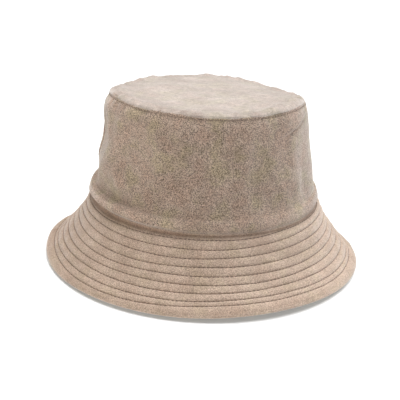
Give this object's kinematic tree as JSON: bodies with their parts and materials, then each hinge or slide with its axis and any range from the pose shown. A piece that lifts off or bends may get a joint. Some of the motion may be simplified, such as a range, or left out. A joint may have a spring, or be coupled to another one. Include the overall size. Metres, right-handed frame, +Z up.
{
  "type": "bucket hat",
  "caption": "Soft bucket hat with a flat top, a tapered two-panel crown and a sloping quilted brim, lined, with a sweatband and a swinging care label inside.",
  "frame": {"origin": "centre of the circle that the brim's edge stands on, at the lowest point of the brim", "axes": "+Z up through the crown, the axis of symmetry; front is -Y; the side seams are at +X and -X"},
  "size_m": [0.2628, 0.2628, 0.1405],
  "materials": {
    "shell_tip": "short matt nap",
    "shell_side": "short matt nap",
    "shell_brim": "short matt nap, quilted",
    "shell_under": "short matt nap, quilted",
    "stiffener": "non-woven",
    "lining": "smooth woven",
    "sweatband": "cotton twill",
    "thread": "matt sewing thread",
    "label": "satin weave, blank"
  },
  "bodies": {
    "hat": {"crown_tip": "shell_tip", "crown_side_front": "shell_side", "crown_side_back": "shell_side", "brim_upper_front": "shell_brim", "brim_upper_back": "shell_brim", "brim_under_front": "shell_under", "brim_under_back": "shell_under", "brim_interlining": "stiffener", "lining_tip": "lining", "lining_side_front": "lining", "lining_side_back": "lining", "sweatband": "sweatband", "tip_topstitch": "thread", "sweatband_stitch": "thread", "care_label_tacks": "thread", "brim_stitch_row_1": "thread", "brim_stitch_row_2": "thread", "brim_stitch_row_3": "thread", "brim_stitch_row_4": "thread", "brim_stitch_row_5": "thread", "brim_stitch_row_6": "thread", "brim_stitch_row_7": "thread", "brim_stitch_row_8": "thread", "brim_stitch_row_9": "thread"},
    "care_label": {"care_label": "label"}
  },
  "joints": [
    {"name": "label_flap", "type": "hinge", "parent": "hat", "child": "care_label", "pos_m": [0.0815, 0, 0.10067], "axis": [-0.1416, 0, 0.9899], "range_deg": [-75, 75]}
  ]
}
